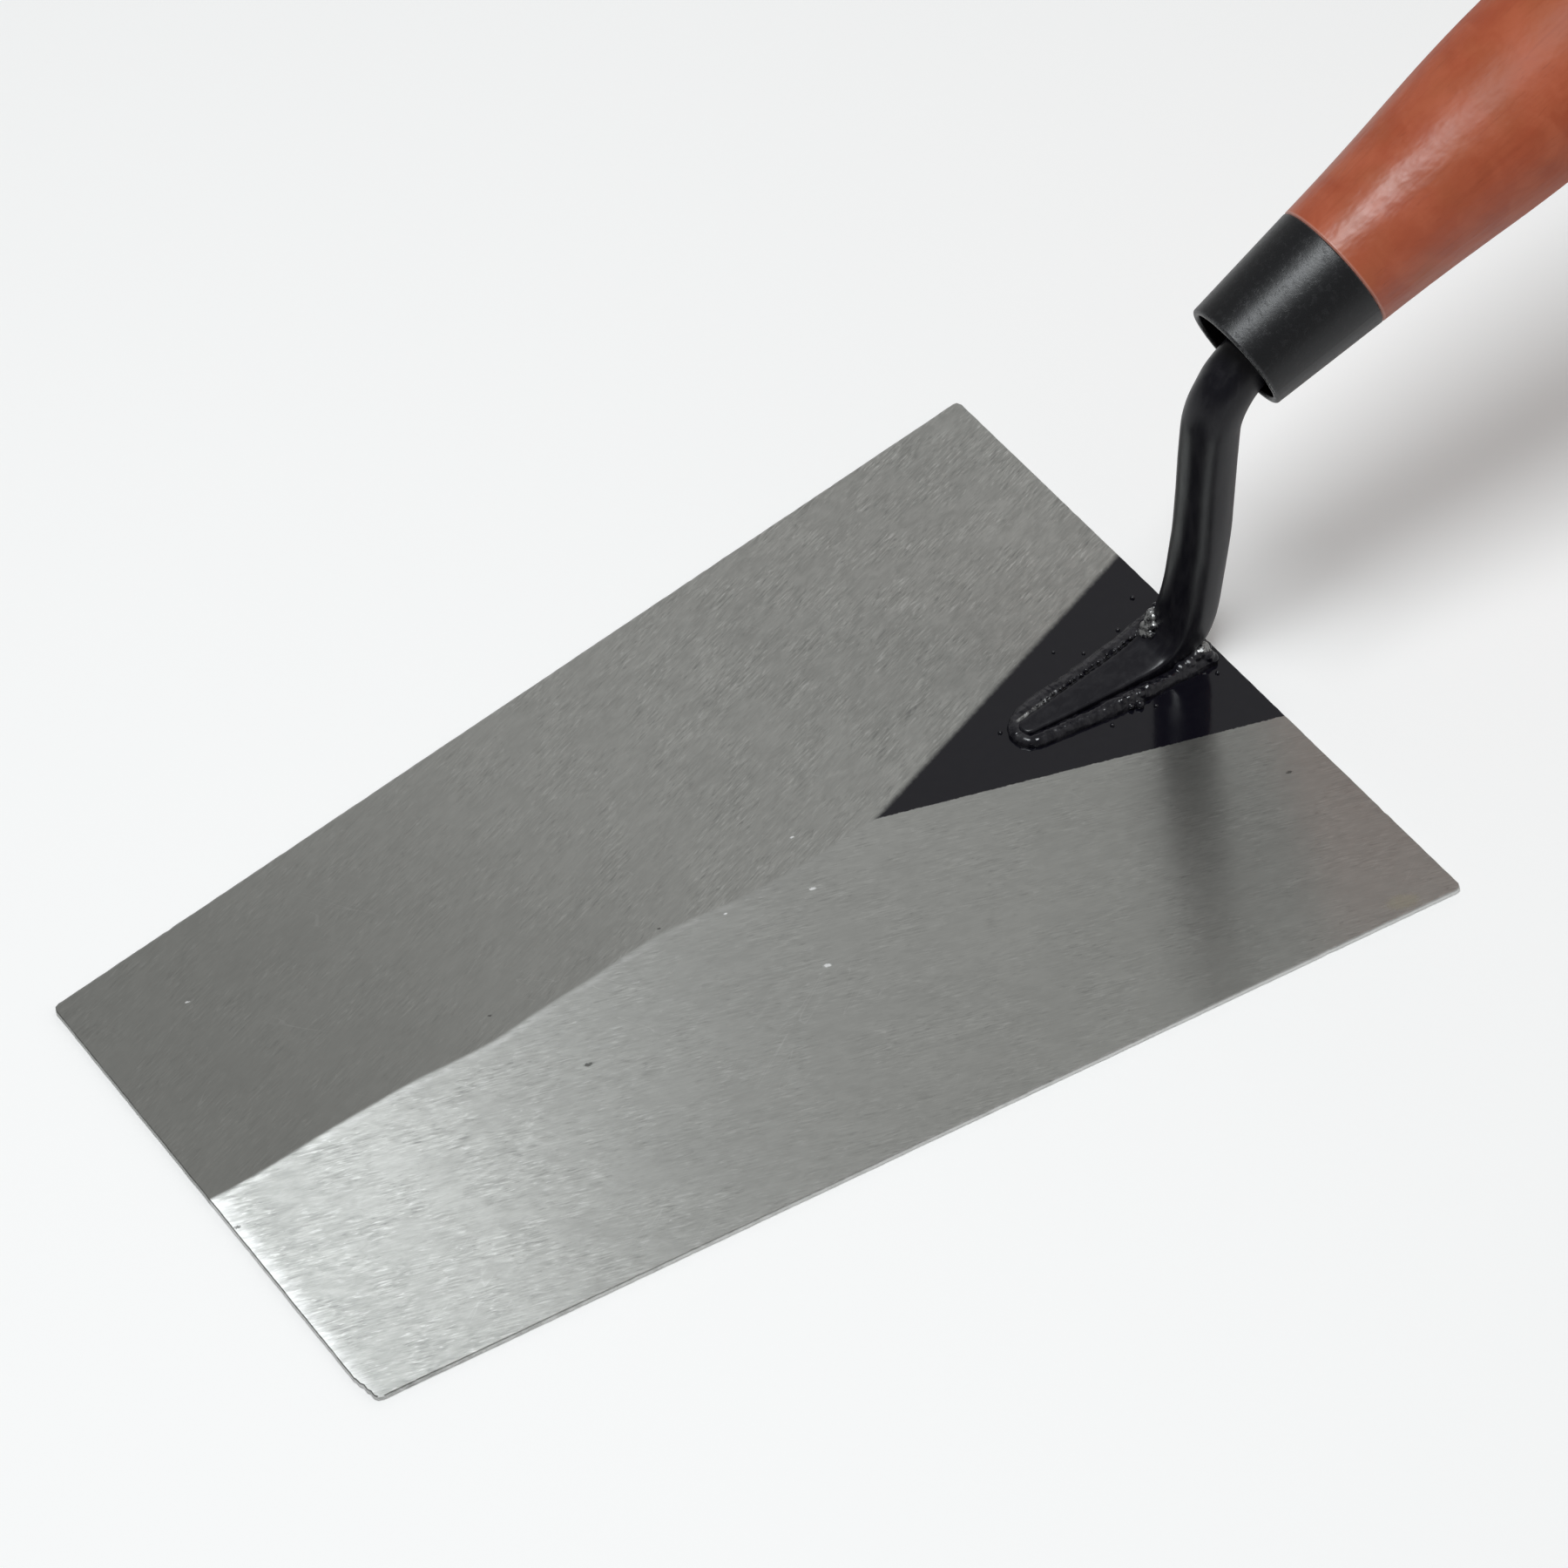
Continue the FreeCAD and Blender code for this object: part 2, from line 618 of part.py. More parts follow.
fill_sheet()
blade = make_blade()
shank = make_shank()
left_weld, right_weld = make_welds(shank)
ferrule = make_ferrule()
handle = make_handle()
check_and_export([blade, shank, left_weld, right_weld, ferrule, handle])
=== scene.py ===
"""Looks of the square-nosed plastering trowel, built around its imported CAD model.

Lengths in the code are millimetres unless a name says otherwise; MM turns them into the
scene's metres. +Y runs from the nose to the heel, and left is +X, as in the CAD frame.
"""

import math
import random

import bmesh
import bpy
from mathutils import Matrix, Vector, noise


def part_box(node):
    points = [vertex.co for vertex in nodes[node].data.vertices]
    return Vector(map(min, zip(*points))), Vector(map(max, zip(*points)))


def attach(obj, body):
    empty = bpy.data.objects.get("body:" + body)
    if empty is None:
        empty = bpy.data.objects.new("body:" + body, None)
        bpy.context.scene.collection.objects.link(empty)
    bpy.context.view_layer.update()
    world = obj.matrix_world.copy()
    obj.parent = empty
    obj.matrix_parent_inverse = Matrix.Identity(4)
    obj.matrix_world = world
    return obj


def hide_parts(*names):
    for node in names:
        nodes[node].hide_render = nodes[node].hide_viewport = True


MM = 0.001

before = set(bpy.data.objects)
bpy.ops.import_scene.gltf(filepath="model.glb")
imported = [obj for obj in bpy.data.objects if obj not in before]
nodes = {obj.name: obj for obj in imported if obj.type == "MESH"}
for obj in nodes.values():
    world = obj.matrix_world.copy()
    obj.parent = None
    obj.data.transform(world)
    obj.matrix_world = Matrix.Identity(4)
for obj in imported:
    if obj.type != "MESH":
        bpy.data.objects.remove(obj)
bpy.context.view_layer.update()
blade_low, blade_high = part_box("blade")
BLADE_LENGTH = (blade_high.y - blade_low.y) / MM
HALF_LENGTH = BLADE_LENGTH / 2
BLADE_TOP = blade_high.z / MM

NOSE_WIDTH = 94.0
HEEL_WIDTH = 136.92
RIM_THICKNESS = 1.0

# The handle's axis starts in the middle of the ferrule's mouth and climbs over the heel.
HANDLE_ANGLE = 23.9
MOUTH_HEIGHT = 67.3
MOUTH_OVERHANG = 1.95
FERRULE_LENGTH = 21.7

# The neck stands upright this far in front of the heel's edge, then bends back at the top.
NECK_SETBACK = 2.0
NECK_RADIUS = 4.85
BEND_RADIUS = 14.0

# Pieces that lie on the blade sink this far into it, so that no gap shows.
SINK = 0.02

# The grain of each half of the blade leans this far from the middle line, towards its side.
GRAIN_ANGLE = math.radians(18)

# The painted triangle: its tip on the middle line and its half width at the heel.
PAINT_LENGTH = 69.5
PAINT_HALF_WIDTH = 22.7


# ---------------------------------------------------------------- node graphs


class Graph:
    """A material's node tree, with short ways to add the nodes that the looks need."""

    def __init__(self, name):
        self.material = bpy.data.materials.new(name)
        self.material.use_nodes = True
        self.tree = self.material.node_tree
        self.tree.nodes.clear()
        self.output = self.tree.nodes.new("ShaderNodeOutputMaterial")

    def add(self, kind, settings=None, inputs=None):
        node = self.tree.nodes.new(kind)
        for key, value in (settings or {}).items():
            setattr(node, key, value)
        for key, value in (inputs or {}).items():
            self.feed(node.inputs[key], value)
        return node

    def feed(self, socket, value):
        """Link a socket to another node's output, or give it a plain value."""
        if isinstance(value, bpy.types.NodeSocket):
            self.tree.links.new(value, socket)
        elif isinstance(value, tuple) and socket.type == "RGBA" and len(value) == 3:
            socket.default_value = (*value, 1)
        else:
            socket.default_value = value

    def math(self, operation, first, second=0.0):
        return self.add("ShaderNodeMath", {"operation": operation}, {0: first, 1: second}).outputs[0]

    def plus(self, first, second):
        return self.math("ADD", first, second)

    def minus(self, first, second):
        return self.math("SUBTRACT", first, second)

    def times(self, first, second):
        return self.math("MULTIPLY", first, second)

    def larger(self, first, second):
        return self.math("MAXIMUM", first, second)

    def centred(self, value, span):
        """Spread a 0 to 1 value over a span whose middle is 0."""
        return self.times(self.minus(value, 0.5), span)

    def step(self, value, start, end):
        """0 at the start, 1 at the end and a smooth ramp between them; the end may be the lower."""
        settings = {"interpolation_type": "SMOOTHSTEP"}
        inputs = {"Value": value, "From Min": start, "From Max": end}
        return self.add("ShaderNodeMapRange", settings, inputs).outputs[0]

    def remap(self, value, low, high):
        """Spread a 0 to 1 value between low and high."""
        inputs = {"Value": value, "To Min": low, "To Max": high}
        return self.add("ShaderNodeMapRange", {}, inputs).outputs[0]

    def vector(self, operation, first, second):
        settings = {"operation": operation}
        return self.add("ShaderNodeVectorMath", settings, {0: first, 1: second}).outputs[0]

    def measure(self, operation, first, second=(0, 0, 0)):
        """A number taken from vectors: a LENGTH, a DISTANCE or a DOT_PRODUCT."""
        settings = {"operation": operation}
        return self.add("ShaderNodeVectorMath", settings, {0: first, 1: second}).outputs["Value"]

    def scale(self, vector, factor):
        inputs = {0: vector, "Scale": factor}
        return self.add("ShaderNodeVectorMath", {"operation": "SCALE"}, inputs).outputs[0]

    def combine(self, x, y, z):
        return self.add("ShaderNodeCombineXYZ", {}, {0: x, 1: y, 2: z}).outputs[0]

    def split(self, vector):
        return self.add("ShaderNodeSeparateXYZ", {}, {0: vector}).outputs

    def turned(self, vector, about_x=0.0, about_z=0.0):
        """The vector as seen from axes that are turned about +X or +Z by an angle."""
        inputs = {"Vector": vector, "Rotation": (-about_x, 0, -about_z)}
        return self.add("ShaderNodeMapping", {"vector_type": "POINT"}, inputs).outputs[0]

    def position(self):
        """The point in the row frame, in millimetres."""
        return self.scale(self.add("ShaderNodeTexCoord").outputs["Object"], 1 / MM)

    def noise(self, vector, scale, detail, roughness, distortion=0.0):
        """A 0 to 1 noise, with scale cycles a millimetre; three numbers stretch it along the axes."""
        if isinstance(scale, tuple):
            vector = self.vector("MULTIPLY", vector, scale)
            scale = 1.0
        inputs = {
            "Vector": vector,
            "Scale": scale,
            "Detail": detail,
            "Roughness": roughness,
            "Distortion": distortion,
        }
        return self.add("ShaderNodeTexNoise", {}, inputs).outputs["Fac"]

    def mix(self, factor, first, second):
        """A colour between two others."""
        node = self.add("ShaderNodeMix", {"data_type": "RGBA"}, {"Factor": factor})
        self.feed(node.inputs[6], first)
        self.feed(node.inputs[7], second)
        return node.outputs[2]

    def bump(self, height, distance, strength):
        inputs = {"Height": height, "Distance": distance * MM, "Strength": strength}
        return self.add("ShaderNodeBump", {}, inputs).outputs[0]

    def principled(self, **inputs):
        named = {key.replace("_", " "): value for key, value in inputs.items()}
        return self.add("ShaderNodeBsdfPrincipled", {}, named).outputs[0]

    def mix_shader(self, factor, first, second):
        return self.add("ShaderNodeMixShader", {}, {0: factor, 1: first, 2: second}).outputs[0]

    def finish(self, shader):
        self.feed(self.output.inputs["Surface"], shader)
        return self.material


# ---------------------------------------------------------------- materials

STEEL = (0.575, 0.582, 0.558)
BRIGHT_FLECK = (0.84, 0.84, 0.83)
DARK_FLECK = (0.29, 0.29, 0.29)
# Bright steel for the rubbed places and for the painted highlights on the blade.
BURNISH_AND_HIGHLIGHT = (0.95, 0.95, 0.94)


def ground_steel(graph, point, angle, seed, fleck_strength, brightness, shine):
    """Steel ground along one direction: its grooves spread the light across them.

    Fine lines, short flecks that come in patches, and faint clouds vary its tone, its gloss
    and its surface. Where shine is 1 the steel is brightened: rubbed along the seam and the hairlines,
    and a painted highlight along the nose and the rims.
    """
    along_grain = graph.turned(point, about_z=angle)
    along_grain = graph.vector("ADD", along_grain, (seed, 3 * seed, 7 * seed))
    lines = graph.noise(along_grain, (4.0, 0.06, 1), 3, 0.6)
    flecks = graph.noise(along_grain, (2.8, 0.42, 1), 2, 0.6, 0.6)
    mottle = graph.noise(along_grain, (0.50, 0.20, 1), 4, 0.65, 0.6)
    patches = graph.noise(along_grain, (0.16, 0.11, 1), 3, 0.6)
    clouds = graph.noise(along_grain, (0.055, 0.04, 1), 3, 0.6)
    strength = graph.remap(graph.step(patches, 0.35, 0.65), 0.25, 1.25)
    strength = graph.times(strength, fleck_strength)

    tone = graph.plus(graph.times(lines, 0.4), graph.times(flecks, 0.6))
    tone_swing = graph.times(graph.centred(graph.step(tone, 0.34, 0.66), 0.30), strength)
    mottle_swing = graph.times(graph.centred(graph.step(mottle, 0.3, 0.7), 0.16), fleck_strength)
    # brightness carries the painted shade that the caller passes in.
    level = graph.plus(graph.plus(brightness, tone_swing), mottle_swing)
    level = graph.times(level, graph.remap(clouds, 0.92, 1.08))
    colour = graph.scale(STEEL, level)
    bright = graph.times(graph.step(flecks, 0.60, 0.70), graph.times(strength, 0.40))
    colour = graph.mix(bright, colour, BRIGHT_FLECK)
    dark = graph.times(graph.step(flecks, 0.37, 0.30), graph.times(strength, 0.45))
    colour = graph.mix(dark, colour, DARK_FLECK)
    colour = graph.mix(shine, colour, BURNISH_AND_HIGHLIGHT)

    height = graph.plus(graph.times(lines, 0.5), flecks)
    height = graph.times(height, graph.remap(fleck_strength, 0.3, 1.0))
    height = graph.plus(height, graph.times(mottle, 1.3))
    return graph.principled(
        Base_Color=colour,
        Metallic=1.0,
        Roughness=graph.remap(flecks, 0.27, 0.34),
        Anisotropic=0.99,
        # A tangent counts only when it is linked, so it comes from a node.
        Tangent=graph.combine(math.cos(angle), math.sin(angle), 0.0),
        Normal=graph.bump(height, 0.011, 0.9),
    )


def near_points(graph, point, spots, raggedness):
    """1 inside small ragged spots, each given as x, y and radius, and 0 outside them.

    The spots are drawn out along the grain of the blade's left half.
    """
    across_grain, along_grain = 1.3, 0.65
    wander = graph.centred(graph.noise(point, 2.8, 3, 0.75), raggedness)
    total = 0.0
    for x, y, radius in spots:
        offset = graph.vector("SUBTRACT", point, (x, y, BLADE_TOP))
        offset = graph.turned(offset, about_z=-GRAIN_ANGLE)
        offset = graph.vector("MULTIPLY", offset, (across_grain, along_grain, 1))
        spread = graph.plus(graph.math("DIVIDE", graph.measure("LENGTH", offset), radius), wander)
        total = graph.larger(total, graph.step(spread, 1.1, 0.55))
    return total


def scratches(graph, point, angle):
    """Sparse hairline scratches: thin level lines of a stretched noise, kept only in patches."""
    turned = graph.turned(point, about_z=angle)
    field = graph.noise(turned, (0.5, 0.03, 1), 0, 0.5)
    line = graph.step(graph.math("ABSOLUTE", graph.minus(field, 0.5)), 0.006, 0.002)
    elsewhere = graph.vector("ADD", turned, (9, 4, 2))
    patch = graph.step(graph.noise(elsewhere, 0.045, 2, 0.5), 0.56, 0.68)
    return graph.times(line, patch)


def gloss_black(graph, point, roughness, ior, wear_and_sheen):
    """Thick black enamel with a faint orange peel, duller and greyer in patches: worn enamel, and where
    the amount is high also a painted sheen.
    """
    fresh, faded_and_sheen = (0.0042, 0.0038, 0.0072), (0.021, 0.020, 0.024)
    peel = graph.noise(point, 0.55, 2, 0.5)
    streaks = graph.noise(point, (0.55, 0.40, 0.14), 4, 0.65, 0.5)
    worn = graph.times(graph.step(streaks, 0.38, 0.68), wear_and_sheen)
    return graph.principled(
        Base_Color=graph.mix(worn, fresh, faded_and_sheen),
        Roughness=graph.plus(roughness, graph.times(worn, 0.12)),
        IOR=ior,
        Normal=graph.bump(peel, 0.02, 0.5),
    )


# Marks on the blade's back: x, y and radius.
PITS = (
    (13.6, -36.9, 0.55), (32.6, 92.5, 0.45), (7.3, -99.2, 0.45), (-2.3, -11.8, 0.26), (-3.8, -44.1, 0.26),
)
BURRS = (
    (5.8, 13.4, 0.42), (20.0, 5.9, 0.5), (1.6, -1.2, 0.26), (-5.0, 17.1, 0.26), (-34.9, -81.9, 0.28),
)
STAINS = ((64.9, 90.0, 2.2),)


def burnish_and_painted_highlights(graph, point, from_seam, toward_heel):
    """How bright the two halves are made: a painted highlight along the nose and the rims, and rubbing
    along the seam and the hairlines.
    """
    x, y, _ = graph.split(point)
    comb = graph.noise(graph.turned(point, about_z=-GRAIN_ANGLE), (0.8, 0.22, 1), 4, 0.65)

    # A ragged painted highlight along the left half's nose, which narrows towards the corner.
    width = graph.remap(graph.step(x, -5.0, 42.0), 3.4, 1.6)
    reach = graph.plus(-100.3, graph.times(graph.step(comb, 0.25, 0.75), width))
    nose_highlight = graph.step(graph.minus(y, reach), 2.6, -2.0)

    # A broken thread along the seam's left side, which fades out towards the heel.
    beside_seam = graph.math("ABSOLUTE", graph.minus(from_seam, 0.8))
    fading = graph.times(graph.step(comb, 0.35, 0.65), graph.minus(1.0, toward_heel))
    seam_thread = graph.times(graph.step(beside_seam, 0.9, 0.1), graph.times(fading, 0.35))

    # A thin uneven painted highlight along both side rims.
    flare = (HEEL_WIDTH - NOSE_WIDTH) / 2 / BLADE_LENGTH
    rim = graph.plus(NOSE_WIDTH / 2, graph.times(graph.plus(y, HALF_LENGTH), flare))
    from_rim = graph.minus(rim, graph.math("ABSOLUTE", x))
    burr_noise = graph.noise(point, (0.7, 0.5, 1), 4, 0.7)
    rim_highlight = graph.times(graph.step(graph.plus(from_rim, burr_noise), 1.05, 0.55), 0.5)

    hairlines = graph.larger(scratches(graph, point, 0.5), scratches(graph, point, -0.9))
    hairlines = graph.times(hairlines, 0.16)
    left = graph.larger(graph.times(nose_highlight, 0.6), seam_thread)
    left = graph.larger(left, graph.larger(rim_highlight, hairlines))
    right = graph.larger(graph.times(rim_highlight, 0.7), hairlines)
    return left, right


def ground_halves(graph, point):
    """The two halves, ground along different directions, which meet along a wavy seam."""
    x, y, _ = graph.split(point)
    wander = graph.noise(graph.combine(0.0, y, 0.0), 0.028, 1, 0.4)
    from_seam = graph.plus(x, graph.centred(wander, 6.0))
    toward_heel = graph.step(y, -70.0, 60.0)
    left_shine, right_shine = burnish_and_painted_highlights(graph, point, from_seam, toward_heel)
    # Painted shade: each half's steel is darker towards the nose, and the right half again towards the
    # heel, standing in for how the light falls along the blade.
    left_painted_shade = graph.remap(graph.step(y, -100.0, -68.0), 0.74, 0.95)
    left_painted_shade = graph.plus(left_painted_shade, graph.times(graph.step(y, -40.0, 40.0), 0.05))
    right_painted_shade = graph.remap(graph.step(y, -95.0, 10.0), 0.86, 0.96)
    right_painted_shade = graph.minus(right_painted_shade, graph.times(graph.step(y, 0.0, 80.0), 0.09))
    left_flecks = graph.remap(graph.step(y, -85.0, -15.0), 1.0, 0.55)
    right_flecks = graph.remap(toward_heel, 0.35, 1.0)
    left = ground_steel(graph, point, -GRAIN_ANGLE, 11.0, left_flecks, left_painted_shade, left_shine)
    right = ground_steel(graph, point, GRAIN_ANGLE, 23.0, right_flecks, right_painted_shade, right_shine)
    return graph.mix_shader(graph.step(from_seam, -0.4, 0.4), right, left)


def add_marks(graph, point, steel):
    """Lay raised burrs, which catch the light from every side, then dark pits and rust on steel."""
    burred = graph.principled(Base_Color=(0.93, 0.93, 0.92), Metallic=0.35, Roughness=0.5)
    pitted = graph.principled(Base_Color=(0.035, 0.034, 0.03), Metallic=0.3, Roughness=0.6)
    stained = graph.principled(Base_Color=(0.36, 0.33, 0.24), Metallic=0.8, Roughness=0.5)
    marks = ((BURRS, 1.8, 0.7, burred), (PITS, 1.9, 0.75, pitted), (STAINS, 1.4, 0.45, stained))
    for spots, raggedness, strength, shader in marks:
        is_marked = graph.times(near_points(graph, point, spots, raggedness), strength)
        steel = graph.mix_shader(is_marked, steel, shader)
    return steel


def painted_triangle(graph, point):
    """1 on the enamelled triangle, masked crisply on the left side and sprayed softly on the right."""
    soft_edge, crisp_edge = 0.75, 0.12
    x, y, z = graph.split(point)
    from_tip = graph.minus(y, HALF_LENGTH - PAINT_LENGTH)
    edge = graph.times(from_tip, PAINT_HALF_WIDTH / PAINT_LENGTH)
    ragged = graph.centred(graph.noise(point, 0.8, 4, 0.7), 0.6)
    inside = graph.minus(graph.plus(edge, ragged), graph.math("ABSOLUTE", x))
    blur = graph.remap(graph.step(x, 0.5, -0.5), crisp_edge, soft_edge)
    is_back = graph.step(z, 0.2, 0.3)
    return graph.times(graph.step(graph.math("DIVIDE", inside, blur), -1.0, 1.0), is_back)


def blade_material():
    graph = Graph("ground_steel_and_enamel")
    point = graph.position()
    steel = add_marks(graph, point, ground_halves(graph, point))
    enamel = gloss_black(graph, point, roughness=0.09, ior=1.5, wear_and_sheen=0.06)
    return graph.finish(graph.mix_shader(painted_triangle(graph, point), steel, enamel))


def shank_material():
    graph = Graph("shank_enamel")
    point = graph.position()
    return graph.finish(gloss_black(graph, point, roughness=0.31, ior=1.42, wear_and_sheen=0.45))


# Bare metal on the heel ends of the two beads, which paints the bright glints of the lumps there: x, y, z
# and reach.
PAINTED_GLINT_SPOTS = ((-3.1, 91.6, 6.8, 4.8), (4.4, 96.6, 4.4, 2.3))

# The painted highlight line on the right run's inner shoulder: x at its toe end, its lean, its ends in y.
CREST_LINE_X = -2.0
CREST_LINE_LEAN = -0.145
CREST_LINE_ENDS = (61.8, 73.0)


def crest_highlight_line(graph, point, islands):
    """1 on the painted highlight line, which is broken up by islands and fades out towards the heel."""
    x, y, _ = graph.split(point)
    start, end = CREST_LINE_ENDS
    line_x = graph.plus(CREST_LINE_X, graph.times(graph.minus(y, start), CREST_LINE_LEAN))
    crest_streak = graph.step(graph.math("ABSOLUTE", graph.minus(x, line_x)), 0.4, 0.08)
    crest_streak = graph.times(crest_streak, graph.step(y, start - 0.4, start + 0.4))
    crest_streak = graph.times(crest_streak, graph.step(y, end, start + 2.0))
    return graph.times(crest_streak, graph.step(islands, 0.32, 0.55))


def weld_material():
    """Enamelled weld, with bare oxidised metal that paints the glints where the run climbs the bend, and
    a painted highlight line along a crest.
    """
    graph = Graph("weld_enamel")
    point = graph.position()
    # The weld's high wear value greys the enamel in patches: worn enamel, and a painted sheen that stands
    # in for the beads' crest highlight.
    enamel = gloss_black(graph, point, roughness=0.16, ior=1.5, wear_and_sheen=1.3)
    near = 0.0
    for x, y, z, reach in PAINTED_GLINT_SPOTS:
        closeness = graph.step(graph.measure("DISTANCE", point, (x, y, z)), reach, 0.45 * reach)
        near = graph.larger(closeness, near)
    islands = graph.noise(point, 0.75, 4, 0.7, 0.6)
    # Painted glints: patches of bare metal near the spots above, joined by the painted highlight line.
    painted_glint = graph.step(graph.plus(islands, graph.times(near, 0.30)), 0.70, 0.78)
    painted_glint = graph.times(painted_glint, graph.step(near, 0.0, 0.15))
    painted_glint = graph.larger(painted_glint, crest_highlight_line(graph, point, islands))
    scale = graph.noise(point, 2.5, 3, 0.6)
    metal = graph.principled(
        Base_Color=graph.mix(scale, (0.20, 0.20, 0.195), (0.62, 0.62, 0.61)),
        Metallic=0.85,
        Roughness=graph.remap(scale, 0.42, 0.28),
        Normal=graph.bump(scale, 0.10, 0.8),
    )
    return graph.finish(graph.mix_shader(graph.times(painted_glint, 0.9), enamel, metal))


def along_handle(graph, point):
    """Distance along the handle's axis from the ferrule's mouth, in millimetres."""
    slope = math.radians(HANDLE_ANGLE)
    mouth = (0, HALF_LENGTH + MOUTH_OVERHANG, MOUTH_HEIGHT)
    from_mouth = graph.vector("SUBTRACT", point, mouth)
    return graph.measure("DOT_PRODUCT", from_mouth, (0, math.cos(slope), math.sin(slope)))


def ferrule_material():
    """Moulded black plastic, satin, scuffed in small patches, with painted highlights along its lips."""
    plain, scuffed, lip_highlight_colour = (0.0052, 0.0055, 0.0068), (0.018, 0.018, 0.020), (0.085, 0.085, 0.088)
    graph = Graph("ferrule_plastic")
    point = graph.position()
    along = along_handle(graph, point)
    grain = graph.noise(point, 2.4, 4, 0.65)
    scuffs = graph.step(graph.noise(point, 0.9, 5, 0.75, 0.4), 0.50, 0.66)
    # Painted highlights: a pale line along the front and back lips.
    front_lip = graph.step(along, 0.8, 0.1)
    back_lip = graph.step(along, FERRULE_LENGTH - 0.35, FERRULE_LENGTH - 0.05)
    painted_lip_highlight = graph.times(graph.larger(front_lip, back_lip), graph.step(grain, 0.35, 0.6))
    colour = graph.mix(graph.times(scuffs, 0.4), plain, scuffed)
    colour = graph.mix(graph.times(painted_lip_highlight, 0.7), colour, lip_highlight_colour)
    height = graph.plus(grain, graph.times(scuffs, 0.5))
    return graph.finish(
        graph.principled(
            Base_Color=colour,
            Roughness=graph.plus(graph.remap(grain, 0.30, 0.38), graph.times(scuffs, 0.06)),
            IOR=1.5,
            Normal=graph.bump(height, 0.024, 0.7),
        )
    )


def handle_material():
    """Stained and lacquered wood: faint grain and mottling, dimples, gloss worn off at the back, and a
    painted highlight along the shoulder at the ferrule.
    """
    deep_red, light_red, brown = (0.40, 0.080, 0.032), (0.47, 0.112, 0.050), (0.37, 0.096, 0.034)
    dark_grain, dark_pore, shoulder_highlight_colour = (0.26, 0.040, 0.014), (0.20, 0.035, 0.014), (0.62, 0.30, 0.24)
    graph = Graph("handle_lacquer")
    point = graph.position()
    along = along_handle(graph, point)
    turned = graph.turned(point, about_x=math.radians(HANDLE_ANGLE))
    grain = graph.noise(turned, (0.9, 0.05, 0.9), 4, 0.6, 0.8)
    pores = graph.noise(turned, (3.5, 0.25, 3.5), 2, 0.6)
    dimples = graph.noise(turned, (0.20, 0.11, 0.20), 3, 0.55)
    blotches = graph.noise(point, 0.13, 3, 0.6, 0.5)
    brown_areas = graph.noise(graph.vector("ADD", point, (31, 7, 2)), 0.075, 2, 0.5)
    # Painted highlight: a pale line on the handle's shoulder beside the ferrule.
    shoulder = graph.step(graph.minus(along, FERRULE_LENGTH), 0.6, 0.2)
    worn = graph.step(along, 34.0, 66.0)

    colour = graph.mix(graph.step(blotches, 0.3, 0.7), deep_red, light_red)
    colour = graph.mix(graph.times(graph.step(brown_areas, 0.45, 0.7), 0.5), colour, brown)
    colour = graph.mix(graph.times(graph.step(grain, 0.5, 0.75), 0.22), colour, dark_grain)
    colour = graph.mix(graph.times(graph.step(pores, 0.62, 0.75), 0.25), colour, dark_pore)
    colour = graph.mix(graph.times(shoulder, 0.55), colour, shoulder_highlight_colour)
    height = graph.plus(graph.times(dimples, 11.0), graph.times(grain, 0.25))
    height = graph.plus(height, graph.times(pores, 0.12))
    return graph.finish(
        graph.principled(
            Base_Color=colour,
            Roughness=graph.plus(graph.remap(blotches, 0.30, 0.42), graph.times(worn, 0.14)),
            Specular_IOR_Level=graph.remap(worn, 0.58, 0.30),
            Normal=graph.bump(height, 0.035, 0.8),
        )
    )


# ---------------------------------------------------------------- pieces


def dress_cad_node(name, material):
    piece = nodes[name]
    piece.data.materials.clear()
    piece.data.materials.append(material)


def add_piece(name, bm, node, material):
    """Make a bmesh drawn in millimetres into a piece that stands for a CAD node."""
    bmesh.ops.scale(bm, vec=(MM, MM, MM), verts=bm.verts)
    bmesh.ops.recalc_face_normals(bm, faces=bm.faces)
    mesh = bpy.data.meshes.new(name)
    bm.to_mesh(mesh)
    bm.free()
    mesh.shade_smooth()
    mesh.materials.append(material)
    piece = bpy.data.objects.new(name, mesh)
    bpy.context.scene.collection.objects.link(piece)
    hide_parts(node)
    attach(piece, "root")
    return piece


def join_loops(bm, loops):
    """Faces between each loop of vertices and the next one."""
    count = len(loops[0])
    for lower, upper in zip(loops, loops[1:]):
        for index in range(count):
            beside = (index + 1) % count
            bm.faces.new((lower[index], lower[beside], upper[beside], upper[index]))


# The chipped nose corner: distances in from the side and back from the nose.
NOSE_CHIP = (
    (5.6, 0), (5.1, 0.2), (4.2, 0.25), (3.6, 0.6), (2.6, 0.55),
    (2.0, 0.85), (1.1, 0.8), (0.5, 1.15), (0.1, 2.1),
)


def blade_corners():
    """The blade's corners from the nose's middle, round by the left: one is chipped, three are worn."""
    half_nose, half_heel, rounding = NOSE_WIDTH / 2, HEEL_WIDTH / 2, 1.2
    side = Vector((half_heel - half_nose, BLADE_LENGTH)).normalized()
    mirrored_side = Vector((-side.x, side.y))
    chip = [Vector((half_nose - inward, back - HALF_LENGTH)) for inward, back in NOSE_CHIP]
    corner = Vector((half_heel, HALF_LENGTH))
    heel = [
        corner - side * rounding,
        corner - side * 0.35 - Vector((0.25, 0.15)),
        corner - Vector((rounding, 0)),
    ]
    far_heel = [Vector((-point.x, point.y)) for point in reversed(heel)]
    corner = Vector((-half_nose, -HALF_LENGTH))
    nose = [
        corner + mirrored_side * rounding,
        corner + mirrored_side * 0.3 + Vector((0.25, 0.1)),
        corner + Vector((rounding, 0)),
    ]
    nose_middle, heel_middle = Vector((0, -HALF_LENGTH)), Vector((0, HALF_LENGTH))
    return [nose_middle] + chip + heel + [heel_middle] + far_heel + nose


